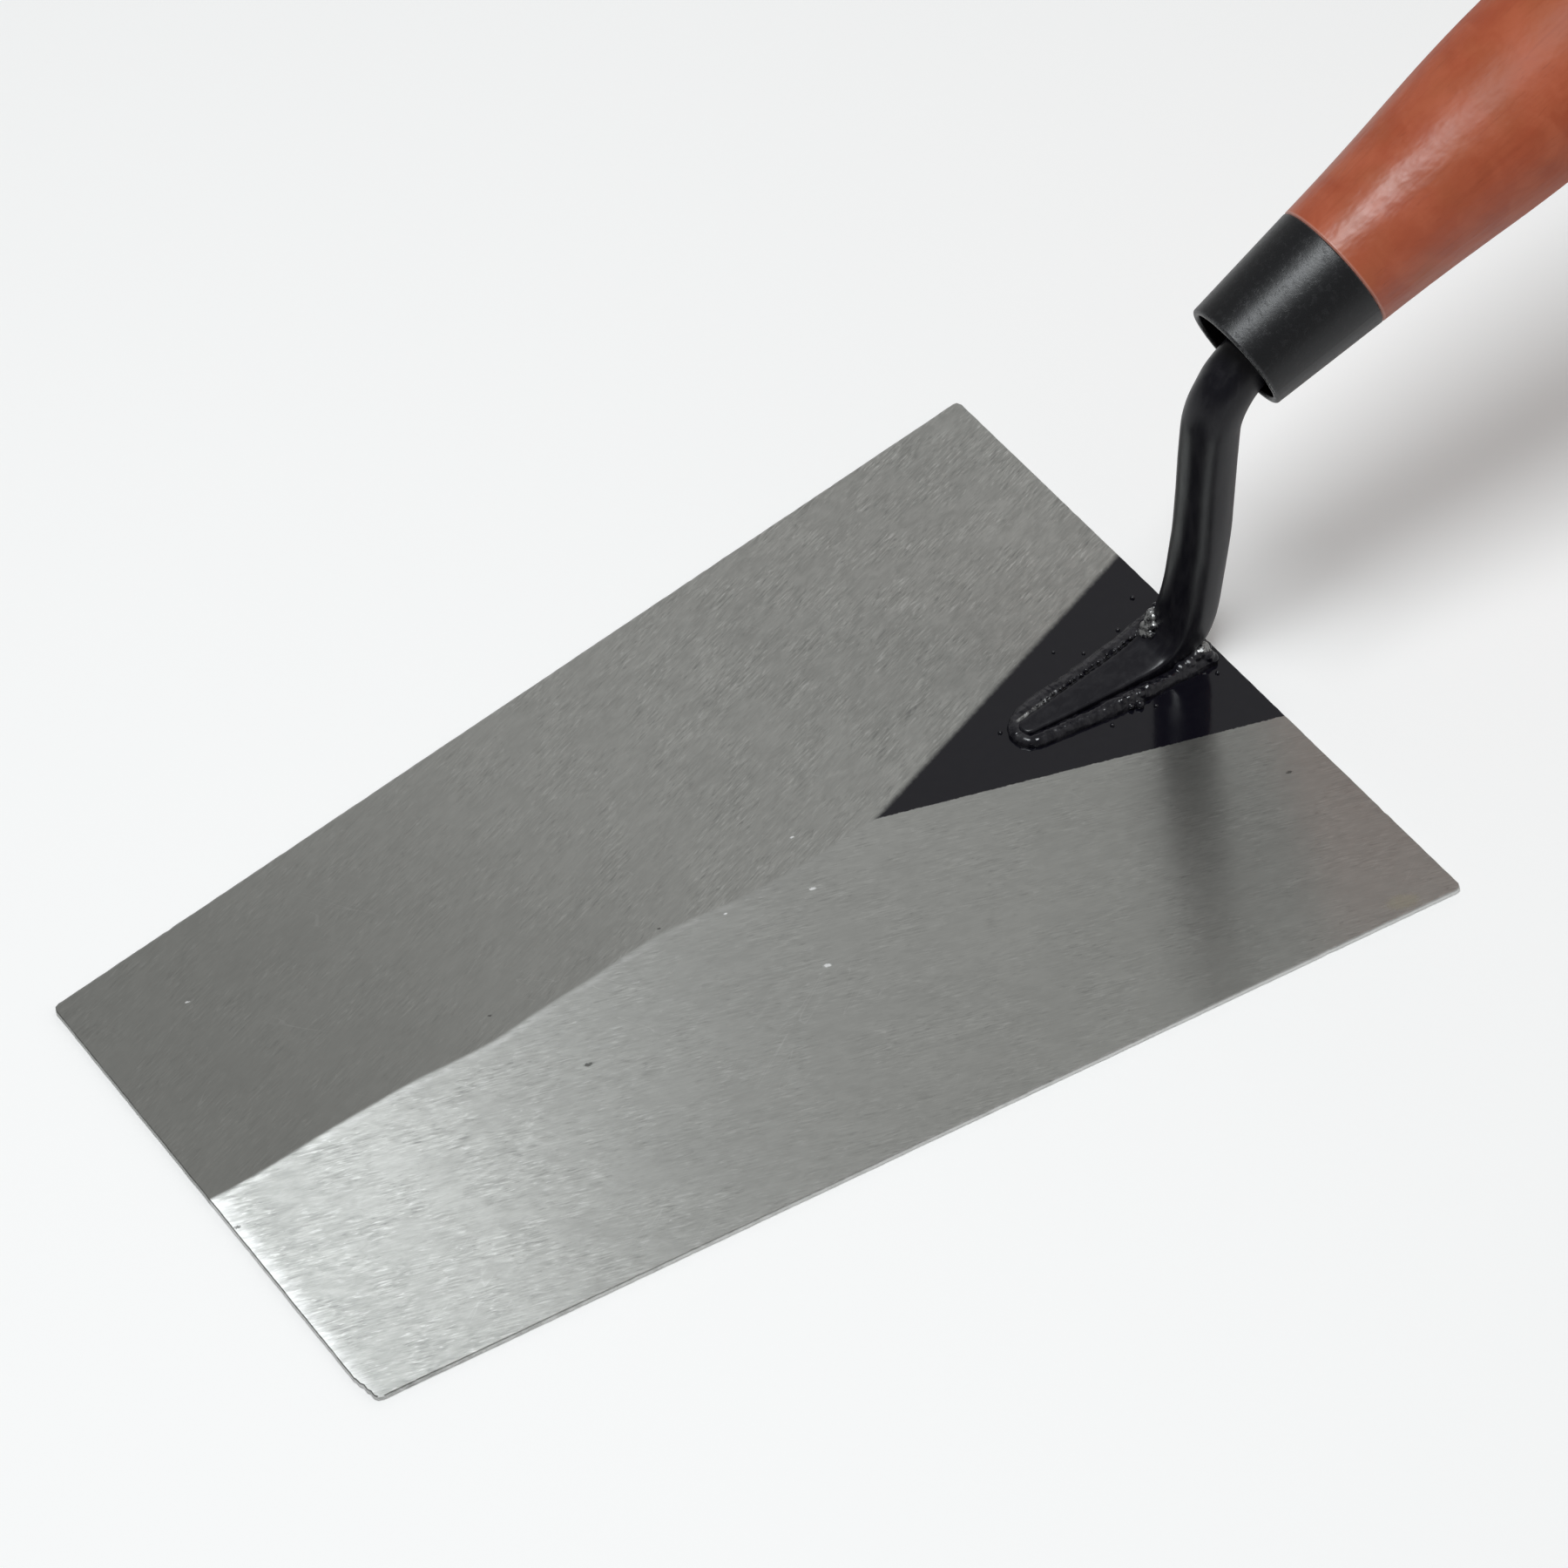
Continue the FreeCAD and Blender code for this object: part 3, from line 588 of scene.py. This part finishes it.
def blade_outline():
    """The corners joined by short edges that waver and carry small nicks, as ground edges do."""
    edge_length = 0.9
    corners = blade_corners()
    outline = []
    for start, end in zip(corners, corners[1:] + corners[:1]):
        length = (end - start).length
        pieces = max(1, round(length / edge_length))
        inward = Vector((-(end - start).y, (end - start).x)) / length
        for piece in range(pieces):
            point = start + (end - start) * piece / pieces
            if piece > 0:
                wander = noise.fractal(Vector((point.x, point.y, 3)) * 0.55, 0.8, 2.0, 3)
                nick = max(0, noise.noise(Vector((point.x, point.y, 9)) * 0.9) - 0.42)
                point = point + inward * (0.03 + 0.05 * wander + 0.5 * nick)
            outline.append(point)
    return outline


def top_of_blade(x):
    """The back's height at a distance from the middle line: two facets fall away from the ridge."""
    return BLADE_TOP - (BLADE_TOP - RIM_THICKNESS) * abs(x) / (HEEL_WIDTH / 2)


def burred_rim(point):
    """How far the rim's upper edge is dressed down below the back, which varies along the edge."""
    return 0.10 + 0.12 * (0.5 + 0.5 * noise.noise(Vector((point.x, point.y, 5)) * 0.35))


def blade_loop(bm, outline, inset, height_at):
    """A loop of vertices inside the outline, at the height that height_at gives for x and point."""
    loop = []
    for index, point in enumerate(outline):
        along = (outline[(index + 1) % len(outline)] - outline[index - 1]).normalized()
        x, y = point + Vector((-along.y, along.x)) * inset
        if point.x == 0:
            x = 0
        loop.append(bm.verts.new((x, y, height_at(x, point))))
    return loop


def make_blade():
    """The blade with its true edges: dressed rims, small nicks, and a worn corner at the nose."""
    bm = bmesh.new()
    outline = blade_outline()
    chamfer = 0.12
    loops = [
        blade_loop(bm, outline, chamfer, lambda x, point: 0),
        blade_loop(bm, outline, 0, lambda x, point: chamfer),
        blade_loop(bm, outline, 0.02, lambda x, point: top_of_blade(x) - burred_rim(point)),
        blade_loop(bm, outline, 0.17, lambda x, point: top_of_blade(x)),
    ]
    join_loops(bm, loops)
    nose_middle, heel_middle = (index for index, point in enumerate(outline) if point.x == 0)
    bottom, top = loops[0], loops[-1]
    flats = [
        bm.faces.new(bottom),
        bm.faces.new(top[nose_middle : heel_middle + 1]),
        bm.faces.new(top[heel_middle:] + top[: nose_middle + 1]),
    ]
    bmesh.ops.triangulate(bm, faces=flats)
    piece = add_piece("blade_plate", bm, "blade", blade_material())
    piece.data.shade_flat()


def smooth_path(rows, steps):
    """Rows of numbers with a smooth (Catmull-Rom) blend of that many steps between them."""
    rows = [Vector(row) for row in rows]
    before = [rows[0] * 2 - rows[1]] + rows[:-1]
    after = rows[1:] + [rows[-1] * 2 - rows[-2]]
    path = []
    for index in range(len(rows) - 1):
        start, end = rows[index], rows[index + 1]
        out = (end - before[index]) / 2
        into = (after[index + 1] - start) / 2
        for step in range(steps):
            t = step / steps
            path.append(
                start * (2 * t**3 - 3 * t**2 + 1)
                + out * (t**3 - 2 * t**2 + t)
                + end * (3 * t**2 - 2 * t**3)
                + into * (t**3 - t**2)
            )
    return path + [rows[-1]]


# The tongue and the bend of the shank, by the points along the middle of their top and front:
# y, z, slope of the section's axis in degrees, half width, half depth and squareness (2 is an
# ellipse, more is boxier).
TONGUE_ROWS = (
    (61.1, 2.75, 0, 0.35, 0.7, 3.0),
    (61.45, 3.05, 0, 1.05, 0.9, 3.5),
    (62.2, 3.15, 0, 1.5, 0.98, 4.5),
    (64.0, 3.22, 0, 1.75, 1.02, 5.0),
    (71.0, 3.5, 1, 2.45, 1.17, 6.0),
    (79.0, 3.8, 1, 3.1, 1.32, 6.0),
    (83.5, 4.0, 3, 3.5, 1.43, 7.0),
    (86.6, 4.35, 12, 3.8, 1.75, 7.0),
    (88.9, 5.1, 28, 4.05, 2.3, 6.5),
    (90.5, 6.5, 46, 4.3, 3.0, 5.5),
    (91.35, 8.5, 62, 4.55, 3.7, 4.2),
    (91.7, 10.8, 74, 4.75, 4.3, 3.2),
    (91.85, 13.3, 81, 4.85, 4.75, 2.5),
)


def from_front(y, z, slope, half_width, half_depth, squareness):
    """A section's row from its front (or top) point instead of its centre."""
    lean = math.radians(slope)
    centre_y = y + half_depth * math.sin(lean)
    centre_z = z - half_depth * math.cos(lean)
    return centre_y, centre_z, slope, half_width, half_depth, squareness


def neck_rows():
    """The neck and tang: rows of y, z, slope, half width, half depth and squareness."""
    radius = NECK_RADIUS
    upright = HALF_LENGTH - NECK_SETBACK
    axis_slope = math.radians(HANDLE_ANGLE)
    along = Vector((math.cos(axis_slope), math.sin(axis_slope)))

    # The shin leans into the upright.
    rows = []
    for setback, z, slope in ((0.85, 17.3, 84), (0.4, 22.5, 86.4), (0.1, 27, 88.6), (0, 31.5, 90)):
        rows.append((upright - setback, z, slope, radius, radius, 2.2))
    for z in (38, 45):
        rows.append((upright, z, 90, 4.8, radius, 2.2))

    # The top bend turns the upright onto the handle's axis.
    centre_y, centre_z = upright + BEND_RADIUS, MOUTH_HEIGHT - BEND_RADIUS
    turns = 6
    for turn in range(turns + 1):
        slope = math.pi / 2 + (axis_slope - math.pi / 2) * turn / turns
        y = centre_y - BEND_RADIUS * math.sin(slope)
        z = centre_z + BEND_RADIUS * math.cos(slope)
        rows.append((y, z, math.degrees(slope), radius, radius, 2.1))

    # The tang runs straight to the CAD shank's end, which is rounded off.
    bend_end = Vector(rows[-1][:2])
    shank_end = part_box("shank")[1].y / MM
    reach = (shank_end - radius * math.sin(axis_slope) - bend_end.x) / along.x
    for part in (0.2, 0.4, 0.6, 0.8, 0.97):
        rows.append((*(bend_end + along * reach * part), HANDLE_ANGLE, radius, radius, 2.0))
    rows.append((*(bend_end + along * reach), HANDLE_ANGLE, 3.4, 3.4, 2.0))
    return rows


def squared(angle, half_width, half_depth, squareness):
    """A point of a superellipse."""
    power = 2 / squareness
    across = math.copysign(abs(math.cos(angle)) ** power, math.cos(angle)) * half_width
    up = math.copysign(abs(math.sin(angle)) ** power, math.sin(angle)) * half_depth
    return across, up


def dented(point, outward):
    """A point of the forging moved in by shallow, long dents."""
    stretched = Vector((point.x * 0.28, point.y * 0.28, point.z * 0.07))
    dent = noise.fractal(stretched + Vector((4, 1, 8)), 0.6, 2.0, 2) * 0.07
    return point + outward.normalized() * (dent - 0.04)


def make_shank():
    """The forged shank: one closed skin over the tongue, the bend, the neck and the tang."""
    corners = 56
    bm = bmesh.new()
    rings = []
    rows = [from_front(*row) for row in TONGUE_ROWS] + neck_rows()
    for y, z, slope, half_width, half_depth, squareness in smooth_path(rows, 9):
        ring = []
        centre = Vector((0, y, z))
        lean = math.radians(slope)
        for corner in range(corners):
            angle = 2 * math.pi * corner / corners
            across, up = squared(angle, half_width, half_depth, max(squareness, 2))
            outward = Vector((across, -up * math.sin(lean), up * math.cos(lean)))
            point = dented(centre + outward, outward)
            point.z = max(point.z, BLADE_TOP - SINK)
            ring.append(bm.verts.new(point))
        rings.append(ring)
    join_loops(bm, rings)
    bm.faces.new(rings[0])
    bm.faces.new(rings[-1])
    add_piece("shank_skin", bm, "shank", shank_material())


# Weld beads: rows of y, distance of the crest from the middle line, half width and height.
LEFT_BEAD = (
    (62.4, 2.5, 1.45, 1.5),
    (64.5, 2.8, 1.5, 1.6),
    (71.7, 3.7, 1.6, 1.75),
    (76.5, 4.2, 1.75, 1.9),
    (80.0, 4.5, 1.8, 2.0),
    (84.5, 4.8, 1.7, 1.85),
    (89.0, 5.0, 1.5, 1.6),
    (93.0, 5.3, 1.5, 1.6),
    (97.3, 5.4, 1.6, 1.8),
)
RIGHT_BEAD = (
    (62.4, 2.6, 1.7, 1.5),
    (65.7, 3.5, 2.0, 1.6),
    (75.3, 4.3, 2.1, 1.85),
    (81.0, 4.9, 2.15, 2.05),
    (85.8, 5.3, 2.2, 2.3),
    (91.0, 6.0, 2.4, 2.7),
    (94.6, 6.5, 2.4, 3.0),
    (97.0, 6.5, 2.3, 2.8),
)

# Lumps that melt into the beads, halfway along and at the bend: x, y, z and radius.
LEFT_LUMPS = (
    (4.8, 78.9, 2.5, 0.9), (5.1, 80.3, 2.7, 0.7), (4.6, 81.3, 2.8, 0.6), (5.3, 82.5, 2.6, 0.9),
    (6.6, 81.4, 1.7, 0.8), (6.2, 79.8, 1.9, 0.6), (4.9, 84.4, 2.7, 0.7), (6.0, 83.6, 1.9, 0.6),
    (4.6, 91.6, 2.5, 1.2), (4.8, 93.4, 2.6, 1.3), (4.5, 95.0, 3.2, 1.3), (4.7, 96.1, 3.7, 1.2),
    (5.4, 96.8, 2.8, 1.3), (4.2, 97.0, 3.5, 1.1), (5.9, 97.5, 1.9, 1.2), (3.5, 98.0, 2.5, 1.1),
)
RIGHT_LUMPS = (
    (-3.6, 89.7, 4.5, 1.0), (-2.7, 89.7, 5.3, 0.8), (-3.9, 90.8, 5.7, 1.1), (-1.7, 90.1, 6.1, 0.75),
    (-2.8, 90.5, 6.6, 0.95), (-2.0, 90.8, 7.6, 0.75), (-3.5, 91.1, 7.4, 1.0), (-2.9, 91.3, 8.7, 0.75),
    (-4.2, 92.0, 8.0, 0.95), (-4.5, 92.9, 6.6, 1.3), (-4.7, 93.4, 8.3, 0.8), (-4.8, 94.6, 6.0, 1.3),
    (-5.0, 96.0, 5.2, 1.4), (-5.4, 97.6, 4.2, 1.3), (-7.8, 97.6, 1.8, 1.1),
)

# Drops of spatter on the paint beside the beads: x, y and radius.
LEFT_DROPS = ((7.2, 75.0, 0.4), (8.2, 83.6, 0.4), (8.6, 96.6, 0.4))
RIGHT_DROPS = (
    (-2.6, 58.7, 0.4), (-13.3, 95.6, 0.45), (-9.0, 89.0, 0.4), (-8.3, 81.0, 0.35), (-11.5, 77.0, 0.3),
)

# Each run curls round the tongue's toe on an arc about this point of the middle line.
TOE_CENTRE = 62.4
TOE_HALF_WIDTH = 2.35
TOE_REACH = 1.8


def add_blob(bm, centre, radii):
    """An ellipsoid; returns its points."""
    place = Matrix.Translation(centre) @ Matrix.Diagonal((*radii, 1))
    return bmesh.ops.create_icosphere(bm, subdivisions=3, radius=1.0, matrix=place)["verts"]


def inner_dots(side):
    """Small beads where the ripples of a weld run lap onto the edge of the tongue."""
    draw = random.Random(3)
    dots = []
    for step in range(20):
        y = 66.5 + 1.25 * step + draw.uniform(-0.3, 0.3)
        edge = 2.0 + (y - 64.0) * 0.092 + draw.uniform(-0.12, 0.2)
        tongue_top = 3.02 + (y - 61) * 0.035
        dots.append((side * (edge + 0.15), y, tongue_top, draw.uniform(0.2, 0.38)))
    return dots


def melt(bm):
    """Fuse overlapping closed shapes, drawn in millimetres, into one smooth skin in metres."""
    bmesh.ops.scale(bm, vec=(MM, MM, MM), verts=bm.verts)
    mesh = bpy.data.meshes.new("melt")
    bm.to_mesh(mesh)
    bm.free()
    holder = bpy.data.objects.new("melt", mesh)
    bpy.context.scene.collection.objects.link(holder)
    remesh = holder.modifiers.new("fuse", "REMESH")
    remesh.mode = "VOXEL"
    remesh.voxel_size = 0.13 * MM
    soften = holder.modifiers.new("soften", "SMOOTH")
    soften.factor = 0.5
    soften.iterations = 14
    ready = holder.evaluated_get(bpy.context.evaluated_depsgraph_get())
    fused = bpy.data.meshes.new_from_object(ready)
    bpy.data.objects.remove(holder)
    return fused


def make_weld(name, node, side, rows, lumps, dots, drops, seed):
    """One weld run: a chain of overlapping puddles that melt into one lumpy bead."""
    draw = random.Random(seed)
    bm = bmesh.new()
    for angle in range(86, 0, -9):
        turn = math.radians(angle)
        x = side * TOE_HALF_WIDTH * math.cos(turn)
        y = TOE_CENTRE - TOE_REACH * math.sin(turn)
        add_blob(bm, (x, y, BLADE_TOP + 0.1), (1.35, 1.35, 1.4))
    for y, out, half_width, height in smooth_path(rows, 12):
        swell = 1 + draw.uniform(-0.012, 0.012)
        add_blob(bm, (side * out, y, BLADE_TOP), (half_width * swell, 1.5, height * swell))
    for x, y, z, radius in lumps:
        add_blob(bm, (x, y, z), (radius, radius, radius * 0.9))
    bead = bmesh.new()
    bead.from_mesh(melt(bm))
    floor = BLADE_TOP - SINK
    for vertex in bead.verts:
        point = vertex.co / MM
        wobble = noise.fractal(point * 0.45 + Vector((seed, 0, 0)), 0.7, 2.0, 2) * 0.12
        crust = noise.noise(point * 1.5 + Vector((0, seed, 0))) * 0.055
        point += vertex.normal * (wobble + crust)
        point.z = max(point.z, floor)
        vertex.co = point
    for x, y, z, radius in dots:
        add_blob(bead, (x, y, z), (radius, 1.25 * radius, radius))
    for x, y, radius in drops:
        for vertex in add_blob(bead, (x, y, BLADE_TOP + 0.1 * radius), (radius, radius, radius)):
            vertex.co.z = max(vertex.co.z, floor)
    add_piece(name, bead, node, weld_material())


make_blade()
dress_cad_node("ferrule", ferrule_material())
dress_cad_node("handle", handle_material())
make_shank()
make_weld("left_weld_bead", "left_weld", 1, LEFT_BEAD, LEFT_LUMPS, (), LEFT_DROPS, seed=5)
make_weld(
    "right_weld_bead", "right_weld", -1, RIGHT_BEAD, RIGHT_LUMPS, inner_dots(-1), RIGHT_DROPS, seed=9
)


# ---------------------------------------------------------------- stage, light and camera

# The studio's brightness, by where a direction leans: 0 is to the nose, 1 is to the heel.
STUDIO_LEVELS = ((0.0, 0.15), (0.30, 0.16), (0.45, 0.26), (0.62, 0.29), (0.70, 0.42), (1.0, 0.5))


def floor_material():
    """White paper: the camera sees it a little brighter than the trowel's reflections do."""
    graph = Graph("floor_paper")
    paper = graph.principled(Base_Color=(0.80, 0.79, 0.785), Roughness=0.9)
    seen = graph.principled(
        Base_Color=(0.96, 0.95, 0.94),
        Roughness=0.9,
        Emission_Color=(1, 1, 1),
        Emission_Strength=0.08,
    )
    is_camera_ray = graph.add("ShaderNodeLightPath").outputs["Is Camera Ray"]
    return graph.finish(graph.mix_shader(is_camera_ray, paper, seen))


def make_floor():
    """The floor lies just below the blade, so that the two faces never coincide."""
    half, level = 3000 * MM, -0.05 * MM
    corners = [(-half, -half, level), (half, -half, level), (half, half, level), (-half, half, level)]
    mesh = bpy.data.meshes.new("floor")
    mesh.from_pydata(corners, [], [(0, 1, 2, 3)])
    mesh.materials.append(floor_material())
    floor = bpy.data.objects.new("floor", mesh)
    bpy.context.scene.collection.objects.link(floor)


def make_world():
    """A soft room: its brightness changes with how far a direction leans towards the heel."""
    world = bpy.data.worlds.new("studio")
    bpy.context.scene.world = world
    world.use_nodes = True
    tree = world.node_tree
    tree.nodes.clear()
    direction = tree.nodes.new("ShaderNodeTexCoord")
    split = tree.nodes.new("ShaderNodeSeparateXYZ")
    to_unit = tree.nodes.new("ShaderNodeMapRange")
    to_unit.inputs["From Min"].default_value = -1
    ramp = tree.nodes.new("ShaderNodeValToRGB")
    background = tree.nodes.new("ShaderNodeBackground")
    output = tree.nodes.new("ShaderNodeOutputWorld")
    tree.links.new(direction.outputs["Generated"], split.inputs[0])
    tree.links.new(split.outputs["Y"], to_unit.inputs["Value"])
    tree.links.new(to_unit.outputs[0], ramp.inputs[0])
    tree.links.new(ramp.outputs[0], background.inputs[0])
    tree.links.new(background.outputs[0], output.inputs[0])
    elements = ramp.color_ramp.elements
    while len(elements) < len(STUDIO_LEVELS):
        elements.new(0.5)
    for element, (place, level) in zip(elements, STUDIO_LEVELS):
        element.position = place
        element.color = (level, level, level * 0.985, 1)


def add_soft_box(name, centre, target, length, width, power, colour):
    """A rectangular area light that looks at the target; its places and sizes are in metres."""
    light = bpy.data.lights.new(name, "AREA")
    light.shape = "RECTANGLE"
    light.size = length
    light.size_y = width
    light.energy = power
    light.color = colour
    box = bpy.data.objects.new(name, light)
    bpy.context.scene.collection.objects.link(box)
    box.location = centre
    box.rotation_mode = "QUATERNION"
    box.rotation_quaternion = (Vector(target) - Vector(centre)).to_track_quat("-Z", "Y")


def make_camera():
    """The camera looks down at the trowel from the left of its nose."""
    azimuth = math.radians(53.85)
    elevation = math.radians(50.24)
    distance = 902.6 * MM
    target = Vector((-15.03, 22.79, BLADE_TOP)) * MM
    back = Vector((
        math.sin(azimuth) * math.cos(elevation),
        -math.cos(azimuth) * math.cos(elevation),
        math.sin(elevation),
    ))
    data = bpy.data.cameras.new("camera")
    data.sensor_width = 36
    data.lens = 124.26
    data.clip_start = 0.01
    data.clip_end = 20
    camera = bpy.data.objects.new("camera", data)
    bpy.context.scene.collection.objects.link(camera)
    camera.location = target + back * distance
    camera.rotation_mode = "QUATERNION"
    camera.rotation_quaternion = (-back).to_track_quat("-Z", "Y")
    bpy.context.scene.camera = camera


make_floor()
make_world()
add_soft_box("lamp", (0.06, -0.16, 1.22), (0, 0, 0), 0.5, 0.4, 9.6, (0.96, 1.0, 1.025))
add_soft_box("side_panel", (-0.96, 0.45, 0.58), (0, 0.08, 0), 0.45, 0.45, 0.22, (1, 0.98, 1.02))
make_camera()
bpy.context.scene.view_settings.view_transform = "Standard"
